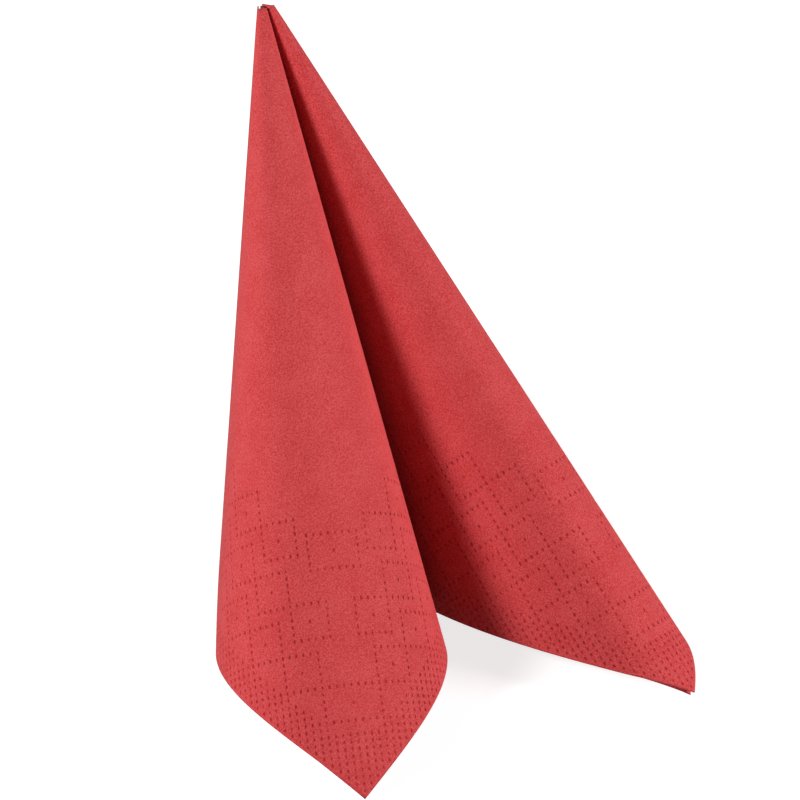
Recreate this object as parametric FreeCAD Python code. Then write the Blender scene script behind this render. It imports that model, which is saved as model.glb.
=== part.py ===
import FreeCAD, Part
import math
import os

from FreeCAD import Rotation, Vector

# Paper napkin: one square tissue sheet, folded into quarters and opened to stand as a two-lobed fan.
#
# The middle of the sheet is the crown at the top and every bend runs straight down from it, so the
# folded sheet is a cone of paper whose free edges lie near the table. The sheet is folded in half
# first, which makes two leaves, and the two leaves are then folded together along the valley crease.
# Angles called "arc" are measured in the flat sheet about its middle. Angles called "turn" say how
# far the paper bends across that arc: a ridge turns the paper around a lobe, and the crease turns
# it back. Lengths are in millimetres and angles in degrees.

# The flat sheet
SHEET_SIDE = 330.0
SHEET_THICKNESS = 0.3

# The crown, where the folded layers are pressed into one blunt point
CROWN_CUT = 7.4
CROWN_PRESSED = 12.0

# Space between the two leaves, just under the crown and level with the middle of a side
LEAF_GAP_TOP = 0.05
LEAF_GAP_EDGE = 1.2

# The valley crease, between the two lobes
CREASE_TILT = 8.7
CREASE_TILT_HEADING = 8.8
CREASE_HEADING = 35.9
CREASE_CONE_ANGLE = 1.5

# The left lobe, from the crease around its ridge to the fold at the back
LEFT_CREASE_TURN = 27.2
LEFT_WALL_ARC = 23.7
LEFT_WALL_TURN = -43.8
LEFT_RIDGE_ARC = 36.8
LEFT_RIDGE_TURN = 216.4
LEFT_BACK_TURN = 2.4

# The right lobe, in the same order
RIGHT_CREASE_TURN = 155.0
RIGHT_WALL_ARC = 37.0
RIGHT_WALL_TURN = 79.8
RIGHT_RIDGE_ARC = 8.3
RIGHT_RIDGE_TURN = 118.0
RIGHT_BACK_TURN = 35.2

# How finely the bends are drawn: points along a free edge, the turn from one flat to the next across
# the sharp crease and across the hidden walls, and points around a fold edge
POINTS_PER_SPAN = 9
CREASE_FLAT_TURN = 13.0
HIDDEN_FLAT_TURN = 6.0
POINTS_PER_FOLD = 5
CURVE_TOLERANCE = 1e-3

HALF_SIDE = SHEET_SIDE / 2
QUARTER_ARC = 90.0
CORNER_ARC = QUARTER_ARC / 2
NODE = "napkin"


class Ruling:
    """One straight line of the paper: its direction from the crown, the way the arc runs on, and
    the side of the paper that faces into the lobe."""

    def __init__(self, direction, onward, inward):
        self.direction = direction
        self.onward = onward
        self.inward = inward

    def turned(self, arc, turn, share=1.0):
        """The ruling that lies a share of the arc further on, across a bend of that turn."""
        bend = turn / arc
        axis = self.direction.cross(self.onward) + self.direction * bend
        rotation = Rotation(axis, arc * math.hypot(1.0, bend) * share)
        return Ruling(
            rotation.multVec(self.direction),
            rotation.multVec(self.onward),
            rotation.multVec(self.inward),
        )

    def point(self, distance, depth, beyond=0.0):
        """A point at that distance from the crown, that deep into the lobe."""
        return self.direction * distance + self.inward * depth + self.onward * beyond


class Span:
    """A stretch of the sheet between two rulings: one even bend, or a flat strip."""

    def __init__(self, start, arc_before, arc, turn, flat=False):
        self.start = start
        self.arc_before = arc_before
        self.arc = arc
        self.turn = turn
        self.flat = flat

    def end(self):
        return self.start.turned(self.arc, self.turn)

    def rulings(self):
        """(arc from the crease, ruling) at even steps across the span."""
        steps = 1 if self.flat else POINTS_PER_SPAN - 1
        return [
            (
                self.arc_before + self.arc * i / steps,
                self.start.turned(self.arc, self.turn, i / steps),
            )
            for i in range(steps + 1)
        ]

    def strips(self, turn_each):
        """The same stretch as flat strips, with at most that turn from one to the next."""
        count = max(1, math.ceil(abs(self.turn) / turn_each))
        arc = self.arc / count
        turn = self.turn / count
        return [
            Span(self.start.turned(arc, turn, i), self.arc_before + arc * i, arc, turn, flat=True)
            for i in range(count)
        ]

    def patch(self, near, far):
        """The face of the bent paper between two curves that cross the span."""
        first = Part.makeLine(near.Vertexes[0].Point, far.Vertexes[0].Point)
        last = Part.makeLine(near.Vertexes[-1].Point, far.Vertexes[-1].Point)
        outline = Part.Wire(Part.sortEdges([near, first, far, last])[0])
        if self.flat:
            return Part.Face(outline)
        bend = self.turn / self.arc
        axis = self.start.direction.cross(self.start.onward) + self.start.direction * bend
        cone = first.revolve(Vector(), axis, self.arc * math.hypot(1.0, bend)).Faces[0].Surface
        face = Part.Face(cone, outline)
        face.fix(CURVE_TOLERANCE, CURVE_TOLERANCE, CURVE_TOLERANCE)
        return face


def edge_distance(arc):
    """Distance from the middle of the square sheet to its edge, at that arc from the crease."""
    from_side = min(arc, QUARTER_ARC - arc)
    return HALF_SIDE / math.cos(math.radians(from_side))


def leaf_gap(distance):
    """Space between the two leaves at a distance from the crown."""
    share = (distance - CROWN_PRESSED) / (HALF_SIDE - CROWN_PRESSED)
    return LEAF_GAP_TOP + (LEAF_GAP_EDGE - LEAF_GAP_TOP) * share


def skin_depths(distance):
    """Depths of the front leaf's two faces and of the rear leaf's two faces."""
    rear = SHEET_THICKNESS / 2 + leaf_gap(distance)
    return (
        -SHEET_THICKNESS / 2,
        SHEET_THICKNESS / 2,
        rear,
        rear + SHEET_THICKNESS,
    )


FRONT_OUT, FRONT_IN, REAR_OUT, REAR_IN = range(4)


def crown_depth(skin, distance):
    """Depth of a face inside the pressed crown, where the layers taper to the point."""
    return skin_depths(CROWN_PRESSED)[skin] * distance / CROWN_PRESSED


def crease_ruling():
    """The ruling down the middle of the valley crease, with its onward side to the left."""
    heading = math.radians(CREASE_TILT_HEADING)
    lean = math.tan(math.radians(CREASE_TILT))
    down = Vector(lean * math.sin(heading), -lean * math.cos(heading), -1.0).normalize()
    facing = math.radians(CREASE_HEADING)
    front = Vector(math.sin(facing), -math.cos(facing), 0.0)
    onward = down.cross(front).normalize()
    return Ruling(down, onward, down.cross(onward))


def split_at_corner(arc_before, arc):
    """The arcs of a stretch on each side of the sheet's corner, or its whole arc if it has none."""
    to_corner = CORNER_ARC - arc_before
    if 0.0 < to_corner < arc:
        return [to_corner, arc - to_corner]
    return [arc]


def lobe_spans(start, way, hidden, crease_turn, wall_arc, wall_turn, ridge_arc, ridge_turn, back_turn):
    """The spans of one lobe, from the middle of the crease to the fold edge at the back."""
    crease_arc = crease_turn * math.tan(math.radians(CREASE_CONE_ANGLE))
    back_arc = QUARTER_ARC - crease_arc - wall_arc - ridge_arc
    stretches = (
        ("wall", wall_arc, wall_turn),
        ("ridge", ridge_arc, ridge_turn),
        ("back", back_arc, back_turn),
    )
    crease = Span(start, 0.0, crease_arc, -way * crease_turn)
    spans = crease.strips(CREASE_FLAT_TURN)
    arc_before = crease_arc
    ruling = crease.end()
    for name, whole_arc, whole_turn in stretches:
        for arc in split_at_corner(arc_before, whole_arc):
            span = Span(ruling, arc_before, arc, way * whole_turn * arc / whole_arc)
            spans += span.strips(HIDDEN_FLAT_TURN) if name in hidden else [span]
            ruling = span.end()
            arc_before += arc
    return spans


def left_lobe():
    """The spans of the left lobe."""
    return lobe_spans(
        crease_ruling(),
        1.0,
        ("wall", "back"),
        LEFT_CREASE_TURN,
        LEFT_WALL_ARC,
        LEFT_WALL_TURN,
        LEFT_RIDGE_ARC,
        LEFT_RIDGE_TURN,
        LEFT_BACK_TURN,
    )


def right_lobe():
    """The spans of the right lobe, which runs the other way from the same crease."""
    middle = crease_ruling()
    return lobe_spans(
        Ruling(middle.direction, middle.onward.negative(), middle.inward),
        -1.0,
        ("back",),
        RIGHT_CREASE_TURN,
        RIGHT_WALL_ARC,
        RIGHT_WALL_TURN,
        RIGHT_RIDGE_ARC,
        RIGHT_RIDGE_TURN,
        RIGHT_BACK_TURN,
    )


def corner_point(lobe):
    """The tip of the lobe's rear leaf, at the corner of the sheet."""
    ruling = next(span.start for span in lobe if abs(span.arc_before - CORNER_ARC) < 1e-6)
    distance = edge_distance(CORNER_ARC)
    return ruling.point(distance, skin_depths(distance)[REAR_IN])


def smooth_edge(points, parameters):
    """A line between two points, or a curve through more of them, with a known parameter at each."""
    if len(points) == 2:
        return Part.makeLine(*points)
    curve = Part.BSplineCurve()
    curve.interpolate(Points=points, Parameters=parameters)
    return curve.toShape()


def level_edge(span, distance, depth):
    """The arc across a span at one distance and depth, or the line across a flat one."""
    points = [ruling.point(distance, depth) for _, ruling in span.rulings()]
    if span.flat:
        return Part.makeLine(*points)
    return Part.Arc(points[0], points[len(points) // 2], points[-1]).toShape()


def free_edge(span, skin):
    """The edge of the sheet across a span, on one face of a leaf."""
    rulings = span.rulings()
    distances = [edge_distance(arc) for arc, _ in rulings]
    points = [
        ruling.point(distance, skin_depths(distance)[skin])
        for (_, ruling), distance in zip(rulings, distances)
    ]
    return smooth_edge(points, [arc for arc, _ in rulings])


def span_faces(span):
    """Every face of the folded sheet across one span."""
    pressed = [level_edge(span, CROWN_PRESSED, skin_depths(CROWN_PRESSED)[k]) for k in range(4)]
    free = [free_edge(span, k) for k in range(4)]
    cut = {k: level_edge(span, CROWN_CUT, crown_depth(k, CROWN_CUT)) for k in (FRONT_OUT, REAR_IN)}
    sheet_faces = [span.patch(pressed[k], free[k]) for k in range(4)]
    crown_faces = [span.patch(cut[k], pressed[k]) for k in cut]
    rims = (
        (free[FRONT_OUT], free[FRONT_IN]),
        (free[REAR_OUT], free[REAR_IN]),
        (pressed[FRONT_IN], pressed[REAR_OUT]),
        (cut[FRONT_OUT], cut[REAR_IN]),
    )
    return sheet_faces + crown_faces + [Part.makeRuledSurface(a, b) for a, b in rims]


def fold_edge(ruling, distance, out_depth, in_depth):
    """The rounded outside of the fold at one distance, from the front face to the rear face."""
    middle = (out_depth + in_depth) / 2
    radius = (in_depth - out_depth) / 2
    steps = POINTS_PER_FOLD - 1
    angles = [math.pi * i / steps for i in range(POINTS_PER_FOLD)]
    points = [
        ruling.point(distance, middle - radius * math.cos(a), radius * math.sin(a))
        for a in angles
    ]
    return smooth_edge(points, angles)


def fold_faces(ruling):
    """The fold edge at the back of a lobe, which joins the two leaves."""
    out_at_side, _, _, in_at_side = skin_depths(HALF_SIDE)
    out_pressed, _, _, in_pressed = skin_depths(CROWN_PRESSED)
    side = fold_edge(ruling, HALF_SIDE, out_at_side, in_at_side)
    pressed = fold_edge(ruling, CROWN_PRESSED, out_pressed, in_pressed)
    cut = fold_edge(
        ruling,
        CROWN_CUT,
        crown_depth(FRONT_OUT, CROWN_CUT),
        crown_depth(REAR_IN, CROWN_CUT),
    )
    corners = [ruling.point(HALF_SIDE, depth) for depth in skin_depths(HALF_SIDE)]
    tops = [ruling.point(CROWN_PRESSED, skin_depths(CROWN_PRESSED)[k]) for k in (FRONT_IN, REAR_OUT)]
    inside = Part.Face(
        Part.makePolygon([tops[0], corners[FRONT_IN], corners[REAR_OUT], tops[1], tops[0]])
    )
    lines = [Part.makeLine(corners[k + 1], corners[k]) for k in (2, 1, 0)]
    foot = Part.Face(Part.Wire([side] + lines))
    lid_line = Part.makeLine(cut.Vertexes[-1].Point, cut.Vertexes[0].Point)
    lid = Part.Face(Part.Wire([cut, lid_line]))
    return [
        Part.makeRuledSurface(pressed, side),
        Part.makeRuledSurface(cut, pressed),
        inside,
        foot,
        lid,
    ]


def folded_sheet():
    """The napkin as one closed solid, with the middle of the sheet at the origin."""
    faces = []
    for spans in (left_lobe(), right_lobe()):
        for span in spans:
            faces += span_faces(span)
        faces += fold_faces(spans[-1].end())
    shell = Part.makeShell(faces)
    shell.sewShape()
    solid = Part.makeSolid(shell)
    if solid.Volume < 0:
        solid.reverse()
    return solid


def standing(solid):
    """The solid stood on its two front corners and its two fold edges, centred on the origin."""
    lobes = (left_lobe(), right_lobe())
    corners = [corner_point(lobe) for lobe in lobes]
    folds = [lobe[-1].end().point(HALF_SIDE, 0.0) for lobe in lobes]
    back = (folds[0] + folds[1]) / 2
    up = (corners[1] - corners[0]).cross(back - corners[0]).normalize()
    level = Rotation(up, Vector(0, 0, 1))
    solid.Placement = FreeCAD.Placement(Vector(), level)
    box = solid.optimalBoundingBox(True, False)
    solid.translate(Vector(-(box.XMin + box.XMax) / 2, -(box.YMin + box.YMax) / 2, -box.ZMin))
    return solid


def main():
    os.makedirs("parts", exist_ok=True)
    napkin = standing(folded_sheet())
    napkin.exportStep(os.path.join("parts", NODE + ".step"))
    box = napkin.optimalBoundingBox(True, False)
    sheet_volume = SHEET_SIDE**2 * SHEET_THICKNESS
    print("valid", napkin.isValid(), "faces", len(napkin.Faces), "solids", len(napkin.Solids))
    print("size", round(box.XLength, 2), round(box.YLength, 2), round(box.ZLength, 2))
    print("volume", round(napkin.Volume, 1), "flat sheet's", round(sheet_volume, 1))


main()
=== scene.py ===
"""A red paper napkin, folded in quarters and opened to stand as a two-lobed fan.

The napkin is one square tissue sheet. Its middle is the crown at the top, and every bend runs
straight down from there, so a point of the sheet is placed by its distance from the middle and by
its angle from the valley crease. The sheet is drawn here with its real thickness, its rounded
folds and the pressed dots of its border.
"""

import logging
import math
from dataclasses import dataclass, field
from enum import Enum

import bmesh
import bpy
import numpy as np
from mathutils import Matrix, Vector


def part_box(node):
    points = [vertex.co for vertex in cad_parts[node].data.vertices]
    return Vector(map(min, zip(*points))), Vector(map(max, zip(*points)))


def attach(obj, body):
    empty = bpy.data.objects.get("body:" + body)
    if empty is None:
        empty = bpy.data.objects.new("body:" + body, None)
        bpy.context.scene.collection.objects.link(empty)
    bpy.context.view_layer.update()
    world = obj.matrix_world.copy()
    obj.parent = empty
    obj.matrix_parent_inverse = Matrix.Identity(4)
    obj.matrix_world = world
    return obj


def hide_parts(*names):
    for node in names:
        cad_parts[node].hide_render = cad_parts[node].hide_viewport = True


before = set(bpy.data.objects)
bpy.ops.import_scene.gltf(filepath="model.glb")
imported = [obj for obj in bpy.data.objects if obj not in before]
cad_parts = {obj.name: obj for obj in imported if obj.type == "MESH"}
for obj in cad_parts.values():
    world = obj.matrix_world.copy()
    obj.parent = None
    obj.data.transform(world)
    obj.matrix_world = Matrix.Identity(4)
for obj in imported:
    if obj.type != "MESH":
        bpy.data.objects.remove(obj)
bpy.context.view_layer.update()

MM = 0.001
CORNER_ARC = 45.0
FOLD_ARC = 90.0
LOG = logging.getLogger("napkin")
GridPoint = tuple[int, int]
Colour = tuple[float, float, float]
Row = list[tuple[float, int]]
Socket = bpy.types.NodeSocket
Tree = bpy.types.NodeTree


class Skin(Enum):
    """The four faces of the folded sheet, from the outside of a lobe inwards."""

    FRONT_OUT = 0
    FRONT_IN = 1
    REAR_OUT = 2
    REAR_IN = 3


class Side(Enum):
    """The two lobes of the fan."""

    LEFT = 0
    RIGHT = 1


@dataclass(frozen=True)
class Lobe:
    """How one lobe bends, from the valley crease to the fold edge at its back.

    Angles called arc are measured in the flat sheet about its middle, and angles called turn say
    how far the paper bends across that arc. All are in degrees.
    """

    way: float
    crease_turn: float
    wall_arc: float
    wall_turn: float
    ridge_arc: float
    ridge_turn: float
    back_turn: float
    crease_cone: float = 1.5

    def bends(self) -> list[tuple[float, float]]:
        """The lobe's even bends in order.

        Returns:
            The arc and the turn of each bend.
        """
        crease_arc = self.crease_turn * math.tan(math.radians(self.crease_cone))
        back_arc = FOLD_ARC - crease_arc - self.wall_arc - self.ridge_arc
        return [
            (crease_arc, -self.way * self.crease_turn),
            (self.wall_arc, self.way * self.wall_turn),
            (self.ridge_arc, self.way * self.ridge_turn),
            (back_arc, self.way * self.back_turn),
        ]

    def frames(self, start: np.ndarray, arcs: np.ndarray) -> np.ndarray:
        """The paper's direction, onward side and inward side at each arc from the crease.

        Args:
            start: The three unit vectors at the crease, as rows.
            arcs: Arcs from the crease, in degrees.

        Returns:
            One block of three rows for each arc.
        """
        result = np.empty((len(arcs), 3, 3))
        before = 0.0
        for arc, turn in self.bends():
            here = (arcs >= before - 1e-9) if before else np.ones(len(arcs), bool)
            result[here] = turned(start, arcs[here] - before, turn / arc)
            start = turned(start, np.array([arc]), turn / arc)[0]
            before += arc
        return result


def turned(start: np.ndarray, arcs: np.ndarray, bend: float) -> np.ndarray:
    """Rolls a ruling of the paper along an even bend.

    Args:
        start: Direction, onward side and inward side of the first ruling, as rows.
        arcs: How far along the flat sheet to go, in degrees, for each result.
        bend: Degrees of turn for each degree of arc.

    Returns:
        The rolled rows, one block of three for each arc.
    """
    axis = np.cross(start[0], start[1]) + start[0] * bend
    axis = axis / np.linalg.norm(axis)
    angle = np.radians(arcs)[:, None, None] * math.hypot(1.0, bend)
    along = (start @ axis)[None, :, None] * axis
    across = np.cross(axis, start)[None]
    return start[None] * np.cos(angle) + across * np.sin(angle) + along * (1.0 - np.cos(angle))


@dataclass(frozen=True)
class Embossing:
    """The dotted border that presses the plies together.

    The dots lie on a square lattice turned 45 degrees to the sheet's edges. Places on it are
    counted from the sheet's corner: first sideways from the diagonal, then up along it. The mesh
    has a finer grid, with a few steps for each cell of the lattice.
    """

    cells: int = 58
    cell_steps: int = 4
    border_cells: int = 19
    square: float = 5.0
    chain_step: float = 5.0
    chains: tuple[tuple[float, float], ...] = ((12.0, 1.5), (21.0, 4.5), (30.0, 7.5))
    dense_band: int = 6
    dense_tip: int = 9
    top_panel: tuple[float, float] = (35.0, 3.5)
    dot_depth: float = 0.2
    faintest: float = 0.65
    seed: int = 7

    @property
    def fine(self) -> int:
        """Grid steps along half a side."""
        return self.cells * self.cell_steps

    @property
    def inner(self) -> int:
        """Grid steps from the middle of the sheet to the dotted border."""
        return (self.cells - self.border_cells) * self.cell_steps

    def grid_point(self, sideways: float, up: float) -> GridPoint:
        """The grid point at a place on the lattice.

        Args:
            sideways: Lattice steps from the diagonal.
            up: Lattice steps from the corner, along the diagonal.

        Returns:
            The grid point, counted from the middle of the sheet.
        """
        half_cell = self.cell_steps / 2
        x = self.fine - half_cell * (up + sideways)
        y = self.fine - half_cell * (up - sideways)
        return round(x), round(y)

    def panel(self, sideways: float, up: float, half_width: float) -> set[GridPoint]:
        """The dots of one panel: its outline, and the dot in its middle.

        Args:
            sideways: Middle of the panel, from the diagonal.
            up: Middle of the panel, from the corner.
            half_width: Half its width across the diagonal.

        Returns:
            The grid points of the dots.
        """
        half = self.square / 2
        wide = np.arange(-half_width, half_width + 0.1)
        tall = np.arange(-half, half + 0.1)
        places = [(sideways + w, up + h) for w in wide for h in (-half, half)]
        places += [(sideways + w, up + h) for w in (-half_width, half_width) for h in tall]
        places.append((sideways, up))
        return {self.grid_point(*place) for place in places}

    def chained(self) -> set[GridPoint]:
        """The dots of the squares that run in chains along the sheet's edges.

        Returns:
            The grid points of the dots.
        """
        half = self.square / 2
        found: set[GridPoint] = set()
        for distance, sideways in self.chains:
            while 2.0 * sideways + distance < 2.0 * self.cells:
                if sideways < half:
                    found |= self.panel(0.0, distance + sideways, sideways + half)
                else:
                    found |= self.panel(sideways, distance + sideways, half)
                    found |= self.panel(-sideways, distance + sideways, half)
                sideways += self.chain_step
        return found | self.panel(0.0, *self.top_panel)

    def dots(self) -> dict[GridPoint, float]:
        """Every dot of one quarter of the sheet.

        Returns:
            How firmly the dot at each grid point is pressed, up to 1.
        """
        found = self.chained()
        for sideways in range(-self.cells, self.cells + 1):
            low = abs(sideways) + 1
            high = max(abs(sideways) + self.dense_band, self.dense_tip)
            found |= {self.grid_point(sideways, up) for up in range(low, high + 1)}
        last = self.fine - 1
        kept = sorted((x, y) for x, y in found if 1 < x < last and 1 < y < last)
        firm = np.random.default_rng(self.seed).uniform(self.faintest, 1.0, len(kept))
        return dict(zip(kept, firm.tolist()))


@dataclass
class SheetPoint:
    """One mesh point of the sheet, before it is placed in space."""

    side: Side
    arc: float
    distance: float
    depth: float
    beyond: float
    pressed: float
    flat: tuple[float, float]


@dataclass
class FoldedNapkin:
    """The folded sheet, all in millimetres and degrees."""

    side: float = 330.0
    thickness: float = 0.3
    crown_pressed: float = 12.0
    leaf_gap_top: float = 0.05
    leaf_gap_edge: float = 1.2
    crease_tilt: float = 8.7
    crease_tilt_heading: float = 8.8
    crease_heading: float = 35.9
    lobes: dict[Side, Lobe] = field(
        default_factory=lambda: {
            Side.LEFT: Lobe(1.0, 27.2, 23.7, -43.8, 36.8, 216.4, 2.4),
            Side.RIGHT: Lobe(-1.0, 155.0, 37.0, 79.8, 8.3, 118.0, 35.2),
        }
    )
    embossing: Embossing = field(default_factory=Embossing)
    crown_rings: tuple[float, ...] = (7.4, 8.6, 10.2, 12.0)
    rings: int = 24
    ring_power: float = 1.25
    crease_cells: int = 4
    fold_steps: int = 4

    def __post_init__(self) -> None:
        """Starts with an empty mesh and the dots of the border."""
        self.points: list[SheetPoint] = []
        self.faces: list[list[int]] = []
        self.index: dict[tuple, int] = {}
        self.used: dict[Skin, set[GridPoint]] = {}
        self.rects: dict[Skin, list[tuple[int, int, int, int]]] = {}
        self.dots = self.embossing.dots()
        self.crown = Vector()

    @property
    def step(self) -> float:
        """Length of one grid step."""
        return self.side / 2 / self.embossing.fine

    def depths(self, distance: float) -> tuple[float, float, float, float]:
        """How far the four skins lie inside the front leaf's middle.

        Args:
            distance: Distance from the crown.

        Returns:
            One depth for each skin, in the order of their values.
        """
        pressed = max(distance, self.crown_pressed)
        share = (pressed - self.crown_pressed) / (self.side / 2 - self.crown_pressed)
        gap = self.leaf_gap_top + (self.leaf_gap_edge - self.leaf_gap_top) * share
        half = self.thickness / 2
        taper = min(1.0, distance / self.crown_pressed)
        return (-half * taper, half, half + gap, (half + gap + self.thickness) * taper)

    def crease(self, side: Side) -> np.ndarray:
        """How the paper lies at the valley crease.

        Args:
            side: The lobe.

        Returns:
            Its direction, onward side and inward side, as rows.
        """
        heading = math.radians(self.crease_tilt_heading)
        lean = math.tan(math.radians(self.crease_tilt))
        down = np.array([lean * math.sin(heading), -lean * math.cos(heading), -1.0])
        down /= np.linalg.norm(down)
        facing = math.radians(self.crease_heading)
        onward = np.cross(down, np.array([math.sin(facing), -math.cos(facing), 0.0]))
        onward /= np.linalg.norm(onward)
        return np.array([down, onward * self.lobes[side].way, np.cross(down, onward)])

    # The grid of one skin

    def dotted_cells(self) -> set[GridPoint]:
        """The lattice cells that touch a dot.

        Returns:
            The cells, by their place from the middle of the sheet.
        """
        steps = self.embossing.cell_steps
        dotted: set[GridPoint] = set()
        for x, y in self.dots:
            for i in {x // steps, (x - 1) // steps}:
                dotted |= {(i, j) for j in {y // steps, (y - 1) // steps}}
        return dotted

    def divide(self, skin: Skin) -> None:
        """Chooses the faces of a skin's border and notes the grid points that they use.

        Args:
            skin: The skin.
        """
        cells, steps = self.embossing.cells, self.embossing.cell_steps
        dotted = self.dotted_cells() if skin is Skin.FRONT_OUT else set()
        rects = []
        for i in range(cells):
            for j in range(cells):
                if max(i, j) * steps < self.embossing.inner:
                    continue
                fine_x = 1 if (i, j) in dotted else steps
                fine_y = 1 if (i, j) in dotted or j < self.crease_cells else steps
                rects += [
                    (x, y, x + fine_x, y + fine_y)
                    for x in range(i * steps, (i + 1) * steps, fine_x)
                    for y in range(j * steps, (j + 1) * steps, fine_y)
                ]
        used = {(x, y) for x0, y0, x1, y1 in rects for x in (x0, x1) for y in (y0, y1)}
        self.rects[skin] = rects
        self.used[skin] = used | set(self.rays(skin))

    def rays(self, skin: Skin) -> list[GridPoint]:
        """Where the straight lines from the crown meet the dotted border.

        Args:
            skin: The skin.

        Returns:
            The grid points, from crease to fold.
        """
        steps = self.embossing.cell_steps
        step = steps // 2 if skin is Skin.FRONT_OUT else steps
        edge = self.embossing.inner
        crease = self.crease_cells * steps
        up = list(range(0, crease)) + list(range(crease, edge, step))
        return [(edge, y) for y in up] + [(x, edge) for x in range(edge, -1, -step)]

    def between(self, skin: Skin, start: GridPoint, end: GridPoint) -> list[GridPoint]:
        """The used grid points along one side of a face.

        Args:
            skin: The skin.
            start: The corner at which the side begins.
            end: The next corner, which is left out.

        Returns:
            The grid points in order.
        """
        (x0, y0), (x1, y1) = start, end
        count = max(abs(x1 - x0), abs(y1 - y0))
        dx, dy = (x1 - x0) // count, (y1 - y0) // count
        inside = [(x0 + dx * k, y0 + dy * k) for k in range(1, count)]
        return [start] + [point for point in inside if point in self.used[skin]]

    # Points

    def add(self, key: tuple, point: SheetPoint) -> int:
        """Adds a point, once for each key.

        Args:
            key: What the point is known by.
            point: The point.

        Returns:
            Its number.
        """
        if key not in self.index:
            self.index[key] = len(self.points)
            self.points.append(point)
        return self.index[key]

    def flat_place(self, side: Side, skin: Skin, x: float, y: float) -> tuple[float, float]:
        """Where a point lies on the flat sheet.

        Args:
            side: The lobe.
            skin: The skin.
            x: Distance from the middle along the valley crease.
            y: Distance from the valley crease.

        Returns:
            The place, from 0 to 1 each way.
        """
        across = y / self.side * (-1 if side is Side.LEFT else 1)
        along = x / self.side * (-1 if skin in (Skin.FRONT_OUT, Skin.FRONT_IN) else 1)
        return 0.5 + across, 0.5 + along

    def grid(self, side: Side, skin: Skin, point: GridPoint) -> int:
        """Adds a skin's point at a grid point.

        Args:
            side: The lobe.
            skin: The skin.
            point: The grid point.

        Returns:
            The point's number.
        """
        x, y = point[0] * self.step, point[1] * self.step
        side = Side.LEFT if point[1] == 0 else side
        pressed = self.dots.get(point, 0.0) if skin is Skin.FRONT_OUT else 0.0
        distance = math.hypot(x, y)
        depth = self.depths(distance)[skin.value] + pressed * self.embossing.dot_depth
        arc = math.degrees(math.atan2(y, x))
        flat = self.flat_place(side, skin, x, y)
        return self.add(
            (side, skin, point), SheetPoint(side, arc, distance, depth, 0.0, pressed, flat)
        )

    def ring_distances(self, ray: GridPoint, skin: Skin) -> list[float]:
        """Distances from the crown of the points along a ray.

        Args:
            ray: Where the ray meets the dotted border.
            skin: The skin.

        Returns:
            The distances, short of the dotted border.
        """
        end = math.hypot(*ray) * self.step
        shares = [(k / self.rings) ** self.ring_power for k in range(1, self.rings)]
        onward = [self.crown_pressed + (end - self.crown_pressed) * share for share in shares]
        outside = skin in (Skin.FRONT_OUT, Skin.REAR_IN)
        return (list(self.crown_rings) if outside else [self.crown_pressed]) + onward

    def ray_points(self, side: Side, skin: Skin, ray: GridPoint) -> list[int]:
        """Adds the points along a ray.

        Args:
            side: The lobe.
            skin: The skin.
            ray: Where the ray meets the dotted border.

        Returns:
            Their numbers, from the crown to the dotted border.
        """
        side = Side.LEFT if ray[1] == 0 else side
        arc = math.degrees(math.atan2(ray[1], ray[0]))
        numbers = []
        for place, distance in enumerate(self.ring_distances(ray, skin)):
            share = distance / math.hypot(*ray)
            flat = self.flat_place(side, skin, ray[0] * share, ray[1] * share)
            depth = self.depths(distance)[skin.value]
            point = SheetPoint(side, arc, distance, depth, 0.0, 0.0, flat)
            numbers.append(self.add((side, skin, ray, place), point))
        return numbers + [self.grid(side, skin, ray)]

    # Faces

    def face(self, numbers: list[int]) -> None:
        """Adds a face, without points that repeat.

        Args:
            numbers: The numbers of its points in order.
        """
        kept = [n for k, n in enumerate(numbers) if n != numbers[k - 1]]
        if len(set(kept)) > 2:
            self.faces.append(kept)

    def build_skin(self, side: Side, skin: Skin) -> None:
        """Adds the faces of one skin of one lobe.

        Args:
            side: The lobe.
            skin: The skin.
        """
        for x0, y0, x1, y1 in self.rects[skin]:
            corners = [(x0, y0), (x1, y0), (x1, y1), (x0, y1)]
            outline: list[GridPoint] = []
            for corner, following in zip(corners, corners[1:] + corners[:1]):
                outline += self.between(skin, corner, following)
            self.face([self.grid(side, skin, point) for point in outline])
        rays = self.rays(skin)
        for first, second in zip(rays, rays[1:]):
            a = self.ray_points(side, skin, first)
            b = self.ray_points(side, skin, second)
            for k in range(len(a) - 2):
                self.face([a[k], a[k + 1], b[k + 1], b[k]])
            edge = [self.grid(side, skin, p) for p in self.between(skin, first, second)]
            self.face([a[-2]] + edge + [b[-1], b[-2]])

    def bridge(self, first: Row, second: Row) -> None:
        """Joins two rows of points with faces that end wherever both rows have a point.

        Args:
            first: Place along the row and number of each point.
            second: The same for the other row.
        """
        shared = sorted({round(p, 6) for p, _ in first} & {round(p, 6) for p, _ in second})
        for low, high in zip(shared, shared[1:]):
            a = [n for p, n in first if low <= round(p, 6) <= high]
            b = [n for p, n in second if low <= round(p, 6) <= high]
            self.face(a + b[::-1])

    def free_edge(self, side: Side, skin: Skin) -> Row:
        """The skin's points along the two free edges of a lobe.

        Args:
            side: The lobe.
            skin: The skin.

        Returns:
            The row, from crease to fold.
        """
        last = self.embossing.fine
        path = [(last, y) for y in range(last)] + [(x, last) for x in range(last, -1, -1)]
        return [
            (float(k), self.grid(side, skin, point))
            for k, point in enumerate(path)
            if point in self.used[skin]
        ]

    def crown_edge(self, side: Side, skin: Skin) -> Row:
        """The skin's points nearest to the crown.

        Args:
            side: The lobe.
            skin: The skin.

        Returns:
            The row, from crease to fold.
        """
        return [
            (math.atan2(ray[1], ray[0]), self.ray_points(side, skin, ray)[0])
            for ray in self.rays(skin)
        ]

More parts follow.
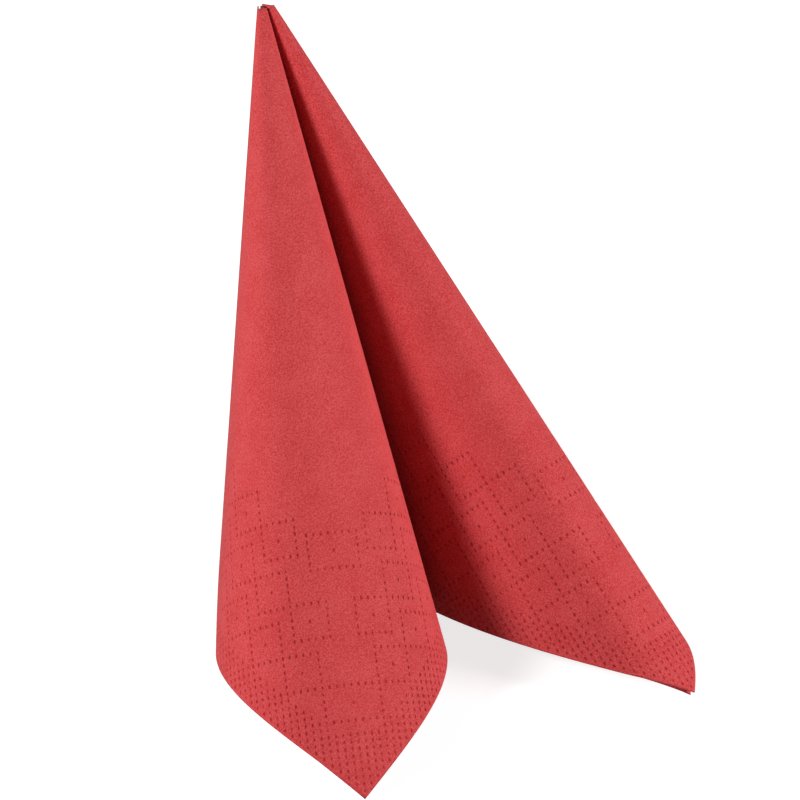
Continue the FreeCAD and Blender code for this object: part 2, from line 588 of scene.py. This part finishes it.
    def fold_line(self, side: Side, skin: Skin) -> Row:
        """The skin's points along the fold edge at the back.

        Args:
            side: The lobe.
            skin: The skin.

        Returns:
            The row, from the crown down.
        """
        ray = (0, self.embossing.inner)
        row = list(zip(self.ring_distances(ray, skin), self.ray_points(side, skin, ray)))
        row += [
            (y * self.step, self.grid(side, skin, (0, y)))
            for y in range(self.embossing.inner, self.embossing.fine + 1)
            if (0, y) in self.used[skin]
        ]
        return row

    def build_fold(self, side: Side) -> None:
        """Adds the rounded fold edge at the back of a lobe, and its foot.

        Args:
            side: The lobe.
        """
        inside = self.fold_line(side, Skin.REAR_IN)
        rows = [self.fold_line(side, Skin.FRONT_OUT)]
        for k in range(1, self.fold_steps):
            turn = math.pi * k / self.fold_steps
            row = []
            for distance, _ in inside:
                low, _, _, high = self.depths(distance)
                radius = (high - low) / 2
                depth = (high + low) / 2 - radius * math.cos(turn)
                beyond = radius * math.sin(turn)
                flat = self.flat_place(side, Skin.FRONT_OUT, 0.0, distance)
                point = SheetPoint(side, FOLD_ARC, distance, depth, beyond, 0.0, flat)
                row.append((distance, self.add((side, "fold", k, round(distance, 6)), point)))
            rows.append(row)
        rows.append(inside)
        for first, second in zip(rows, rows[1:]):
            self.bridge(first, second)
        front = self.fold_line(side, Skin.FRONT_IN)
        rear = self.fold_line(side, Skin.REAR_OUT)
        self.bridge(front, rear)
        self.face([row[-1][1] for row in rows] + [rear[-1][1], front[-1][1]])
        self.face([row[0][1] for row in rows])

    def build_lobe(self, side: Side) -> None:
        """Adds every face of one lobe.

        Args:
            side: The lobe.
        """
        for skin in Skin:
            self.build_skin(side, skin)
        for outer, inner in ((Skin.FRONT_OUT, Skin.FRONT_IN), (Skin.REAR_OUT, Skin.REAR_IN)):
            self.bridge(self.free_edge(side, outer), self.free_edge(side, inner))
        for outer, inner in ((Skin.FRONT_OUT, Skin.REAR_IN), (Skin.FRONT_IN, Skin.REAR_OUT)):
            self.bridge(self.crown_edge(side, outer), self.crown_edge(side, inner))
        self.build_fold(side)

    # Placing

    def placed(self, side: Side, arcs: np.ndarray, offsets: np.ndarray) -> np.ndarray:
        """Points of one lobe in space, with the middle of the sheet at the origin.

        Args:
            side: The lobe.
            arcs: Arc of each point from the crease.
            offsets: Distance, reach beyond the ruling and depth of each point.

        Returns:
            One row for each point.
        """
        frames = self.lobes[side].frames(self.crease(side), arcs)
        return np.einsum("nk,nkj->nj", offsets, frames)

    def level(self) -> np.ndarray:
        """The turn that stands the napkin on its two front corners and its two fold edges.

        Returns:
            The turn as a matrix.
        """
        reach = self.side / 2 * math.sqrt(2.0)
        corner = np.array([[reach, 0.0, self.depths(reach)[Skin.REAR_IN.value]]])
        fold = np.array([[self.side / 2, 0.0, 0.0]])
        corners = [self.placed(side, np.array([CORNER_ARC]), corner)[0] for side in Side]
        folds = [self.placed(side, np.array([FOLD_ARC]), fold)[0] for side in Side]
        up = np.cross(corners[1] - corners[0], (folds[0] + folds[1]) / 2 - corners[0])
        turn = Vector(up / np.linalg.norm(up)).rotation_difference(Vector((0.0, 0.0, 1.0)))
        return np.array(turn.to_matrix())

    def coordinates(self) -> np.ndarray:
        """Places every point of the sheet, and notes where the crown is.

        Returns:
            One row for each point, in the part's frame, in metres.
        """
        result = np.empty((len(self.points), 3))
        for side in Side:
            here = [k for k, point in enumerate(self.points) if point.side is side]
            rows = [self.points[k] for k in here]
            arcs = np.array([point.arc for point in rows])
            offsets = np.array([[point.distance, point.beyond, point.depth] for point in rows])
            result[here] = self.placed(side, arcs, offsets)
        result = result @ self.level().T * MM
        low, high = result.min(0), result.max(0)
        cad_low, cad_high = (np.array(corner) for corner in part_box("napkin"))
        shift = (cad_low + cad_high) / 2 - (low + high) / 2
        shift[2] = cad_low[2] - low[2]
        self.crown = Vector(shift)
        return result + shift

    def build(self) -> bpy.types.Object:
        """Builds the napkin's mesh object.

        Returns:
            The object, with its place in its mesh.
        """
        for skin in Skin:
            self.divide(skin)
        for side in Side:
            self.build_lobe(side)
        mesh = bpy.data.meshes.new("tissue_sheet")
        mesh.from_pydata(self.coordinates().tolist(), [], self.faces)
        pressed = mesh.attributes.new("pressed", "FLOAT", "POINT")
        pressed.data.foreach_set("value", [point.pressed for point in self.points])
        layer = mesh.uv_layers.new(name="flat_sheet")
        flat = np.array([point.flat for point in self.points])
        corners = np.empty(len(mesh.loops), int)
        mesh.loops.foreach_get("vertex_index", corners)
        layer.data.foreach_set("uv", flat[corners].ravel())
        shape = bmesh.new()
        shape.from_mesh(mesh)
        bmesh.ops.recalc_face_normals(shape, faces=shape.faces)
        shape.to_mesh(mesh)
        shape.free()
        mesh.shade_smooth()
        sheet = bpy.data.objects.new("tissue_sheet", mesh)
        bpy.context.collection.objects.link(sheet)
        return sheet


@dataclass(frozen=True)
class TissueFinish:
    """Soft matt tissue, dyed through, with a felt-like grain and pressed dots, darker in their
    middles: partly the pressed fibres' own colour, partly painted shade in the pits.
    """

    light: Colour = (0.70, 0.092, 0.096)
    dark: Colour = (0.55, 0.038, 0.041)
    # Colour at the middle of each dot: the pressed fibres' darker red, deepened with painted
    # shade in the pit.
    pressed: Colour = (0.46, 0.018, 0.022)
    grain_size: float = 0.00042
    fibre_size: float = 0.00024
    mottle_size: float = 0.009
    noise_detail: float = 2.0
    fibre_share: float = 0.6
    mottle_share: float = 0.22
    spread: tuple[float, float] = (0.72, 1.10)
    pit_edge: tuple[float, float] = (0.1, 0.75)
    grain_height: float = 0.0002
    pit_height: float = 0.0003
    bump_strength: float = 0.8
    roughness: float = 0.92
    specular: float = 0.12
    sheen: float = 0.2
    sheen_roughness: float = 0.45
    sheen_tint: Colour = (1.0, 0.62, 0.6)

    def noise(self, tree: Tree, place: Socket, size: float) -> Socket:
        """Adds a soft noise of one size in the part's own frame.

        Args:
            tree: The material's nodes.
            place: The coordinates.
            size: Size of its spots, in metres.

        Returns:
            The noise, from 0 to 1.
        """
        noise = tree.nodes.new("ShaderNodeTexNoise")
        noise.inputs["Scale"].default_value = 1.0 / size
        noise.inputs["Detail"].default_value = self.noise_detail
        tree.links.new(place, noise.inputs["Vector"])
        return noise.outputs["Fac"]

    def mixed(self, tree: Tree, added: Socket, share: float, base: Socket) -> Socket:
        """Adds a share of one value to another.

        Args:
            tree: The material's nodes.
            added: The value that is added.
            share: How much of it is added.
            base: The value that it is added to.

        Returns:
            The sum.
        """
        total = tree.nodes.new("ShaderNodeMath")
        total.operation = "MULTIPLY_ADD"
        tree.links.new(added, total.inputs[0])
        total.inputs[1].default_value = share
        tree.links.new(base, total.inputs[2])
        return total.outputs[0]

    def smooth(self, tree: Tree, value: Socket, low: float, high: float) -> Socket:
        """Eases a value from 0 at one end of a range to 1 at the other.

        Args:
            tree: The material's nodes.
            value: The value.
            low: Where the range begins.
            high: Where it ends.

        Returns:
            The eased value.
        """
        ease = tree.nodes.new("ShaderNodeMapRange")
        ease.interpolation_type = "SMOOTHSTEP"
        ease.inputs["From Min"].default_value = low
        ease.inputs["From Max"].default_value = high
        tree.links.new(value, ease.inputs["Value"])
        return ease.outputs["Result"]

    def blend(self, tree: Tree, share: Socket, start: Colour | Socket, end: Colour) -> Socket:
        """Mixes towards a colour by a share.

        Args:
            tree: The material's nodes.
            share: How far to go, from 0 to 1.
            start: The colour at 0, written out or from another node.
            end: The colour at 1.

        Returns:
            The mixed colour.
        """
        mix = tree.nodes.new("ShaderNodeMix")
        mix.data_type = "RGBA"
        tree.links.new(share, mix.inputs["Factor"])
        if isinstance(start, tuple):
            mix.inputs["A"].default_value = (*start, 1.0)
        else:
            tree.links.new(start, mix.inputs["A"])
        mix.inputs["B"].default_value = (*end, 1.0)
        return mix.outputs["Result"]

    def material(self) -> bpy.types.Material:
        """Builds the tissue's material.

        Returns:
            The material.
        """
        material = bpy.data.materials.new("red_tissue")
        material.use_nodes = True
        tree = material.node_tree
        shader = tree.nodes["Principled BSDF"]
        shader.inputs["Roughness"].default_value = self.roughness
        shader.inputs["Specular IOR Level"].default_value = self.specular
        shader.inputs["Sheen Weight"].default_value = self.sheen
        shader.inputs["Sheen Roughness"].default_value = self.sheen_roughness
        shader.inputs["Sheen Tint"].default_value = (*self.sheen_tint, 1.0)
        place = tree.nodes.new("ShaderNodeTexCoord").outputs["Object"]
        grain = self.noise(tree, place, self.grain_size)
        fibre = self.noise(tree, place, self.fibre_size)
        mottle = self.noise(tree, place, self.mottle_size)
        speckle = self.mixed(tree, fibre, self.fibre_share, grain)
        cloud = self.mixed(tree, mottle, self.mottle_share, speckle)
        shade = self.smooth(tree, cloud, *self.spread)
        paper = self.blend(tree, shade, self.dark, self.light)
        dots = tree.nodes.new("ShaderNodeAttribute")
        dots.attribute_name = "pressed"
        # Paints the dots darker towards their middles: pressed fibres, plus painted shade in the
        # pits.
        pit = self.smooth(tree, dots.outputs["Fac"], *self.pit_edge)
        tree.links.new(self.blend(tree, pit, paper, self.pressed), shader.inputs["Base Color"])
        height = self.mixed(tree, pit, -self.pit_height / self.grain_height, speckle)
        bump = tree.nodes.new("ShaderNodeBump")
        bump.inputs["Strength"].default_value = self.bump_strength
        bump.inputs["Distance"].default_value = self.grain_height
        tree.links.new(height, bump.inputs["Height"])
        tree.links.new(bump.outputs["Normal"], shader.inputs["Normal"])
        return material


@dataclass(frozen=True)
class Lamp:
    """A soft square lamp: how far to the camera's right and towards it, its size and power."""

    name: str
    right: float
    front: float
    size: float
    power: float
    rise: float = 0.3
    target: tuple[float, float, float] = (0.0, 0.0, 0.07)

    def build(self, right: Vector, back: Vector) -> None:
        """Adds the lamp, facing the napkin.

        Args:
            right: The camera's right side.
            back: The way from the napkin to the camera.
        """
        data = bpy.data.lights.new(self.name, "AREA")
        data.size = self.size
        data.energy = self.power
        place = right * self.right + back * self.front + Vector((0.0, 0.0, self.rise))
        lamp = bpy.data.objects.new(self.name, data)
        lamp.location = place
        lamp.rotation_euler = (Vector(self.target) - place).to_track_quat("-Z", "Y").to_euler()
        bpy.context.collection.objects.link(lamp)


@dataclass
class Studio:
    """The pale floor, the soft lamps and the camera.

    The camera's distance and the crown's place are in pixels of the photograph, and one pixel is
    so many millimetres wide at the crown.
    """

    elevation: float = 34.97
    azimuth: float = -28.6
    pixel: float = 0.28025
    distance: float = 15500.0
    crown_x: float = 259.23
    crown_y: float = -17.33
    frame_pixels: float = 800.0
    sensor: float = 36.0
    clip: tuple[float, float] = (0.1, 20.0)
    floor_size: float = 6.0
    floor_height: float = -0.0003
    floor_grey: float = 0.6
    floor_glow: float = 0.78
    world_light: float = 0.02
    lamps: tuple[Lamp, ...] = (
        Lamp("left_lamp", -0.77, 0.65, 0.3, 10.2),
        Lamp("left_edge_lamp", -1.05, -0.1, 0.5, 2.0),
        Lamp("right_lamp", 1.0, 0.12, 0.4, 10.8),
    )

    def directions(self) -> tuple[Vector, Vector]:
        """The directions that the camera and the lamps are placed by.

        Returns:
            The camera's right side, and the way from the napkin to it.
        """
        turn, rise = math.radians(self.azimuth), math.radians(self.elevation)
        right = Vector((math.cos(turn), math.sin(turn), 0.0))
        back = Vector(
            (math.sin(turn) * math.cos(rise), -math.cos(turn) * math.cos(rise), math.sin(rise))
        )
        return right, back

    def build_camera(self, crown: Vector) -> None:
        """Places the camera so that the crown falls where the photograph has it.

        Args:
            crown: The middle of the sheet, in metres.
        """
        right, back = self.directions()
        up = back.cross(right)
        pixel = self.pixel * MM
        middle = self.frame_pixels / 2
        eye = crown + back * (self.distance * pixel)
        eye += right * ((middle - self.crown_x) * pixel)
        eye += up * ((self.crown_y - middle) * pixel)
        data = bpy.data.cameras.new("camera")
        data.sensor_width = self.sensor
        data.lens = self.distance * self.sensor / self.frame_pixels
        data.clip_start, data.clip_end = self.clip
        camera = bpy.data.objects.new("camera", data)
        axes = Matrix((right, up, back)).transposed().to_4x4()
        camera.matrix_world = Matrix.Translation(eye) @ axes
        bpy.context.collection.objects.link(camera)
        bpy.context.scene.camera = camera

    def floor_material(self) -> bpy.types.Material:
        """Builds a pale matt floor that shows white to the camera and keeps the shadow.

        Returns:
            The material.
        """
        material = bpy.data.materials.new("pale_floor")
        material.use_nodes = True
        nodes, links = material.node_tree.nodes, material.node_tree.links
        nodes.remove(nodes["Principled BSDF"])
        matt = nodes.new("ShaderNodeBsdfDiffuse")
        matt.inputs["Color"].default_value = (*[self.floor_grey] * 3, 1.0)
        glow = nodes.new("ShaderNodeEmission")
        seen = nodes.new("ShaderNodeLightPath")
        share = seen.outputs["Is Camera Ray"]
        for ray in ("Is Glossy Ray", "Is Transmission Ray"):
            total = nodes.new("ShaderNodeMath")
            links.new(share, total.inputs[0])
            links.new(seen.outputs[ray], total.inputs[1])
            share = total.outputs[0]
        level = nodes.new("ShaderNodeMath")
        level.operation = "MULTIPLY"
        level.inputs[1].default_value = self.floor_glow
        links.new(share, level.inputs[0])
        links.new(level.outputs[0], glow.inputs["Strength"])
        both = nodes.new("ShaderNodeAddShader")
        links.new(matt.outputs[0], both.inputs[0])
        links.new(glow.outputs[0], both.inputs[1])
        links.new(both.outputs[0], nodes["Material Output"].inputs["Surface"])
        return material

    def build_floor(self) -> None:
        """Adds the floor, a hair below the napkin."""
        bpy.ops.object.select_all(action="DESELECT")
        place = (0.0, 0.0, self.floor_height)
        bpy.ops.mesh.primitive_plane_add(size=self.floor_size, location=place)
        floor = bpy.context.active_object
        floor.name = "floor"
        floor.data.materials.append(self.floor_material())

    def build_world(self) -> None:
        """Gives the world a plain pale light."""
        world = bpy.data.worlds.new("pale_room")
        world.use_nodes = True
        background = world.node_tree.nodes["Background"]
        background.inputs["Color"].default_value = (1.0, 1.0, 1.0, 1.0)
        background.inputs["Strength"].default_value = self.world_light
        bpy.context.scene.world = world

    def build(self, crown: Vector) -> None:
        """Builds the floor, the lamps, the world and the camera.

        Args:
            crown: The middle of the sheet, in metres.
        """
        self.build_camera(crown)
        self.build_floor()
        self.build_world()
        for lamp in self.lamps:
            lamp.build(*self.directions())
        bpy.context.scene.view_settings.view_transform = "Standard"


def main() -> None:
    """Builds the napkin and the studio."""
    logging.basicConfig(level=logging.INFO, format="%(message)s")
    bpy.ops.object.select_all(action="DESELECT")
    napkin = FoldedNapkin()
    sheet = napkin.build()
    sheet.data.materials.append(TissueFinish().material())
    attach(sheet, "root")
    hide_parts("napkin")
    triangles = sum(len(face.vertices) - 2 for face in sheet.data.polygons)
    LOG.info("tissue_sheet: %d triangles, %d dots", triangles, len(napkin.dots))
    Studio().build(napkin.crown)
    LOG.info("studio: floor, lamps and camera")


if __name__ == "__main__":
    main()
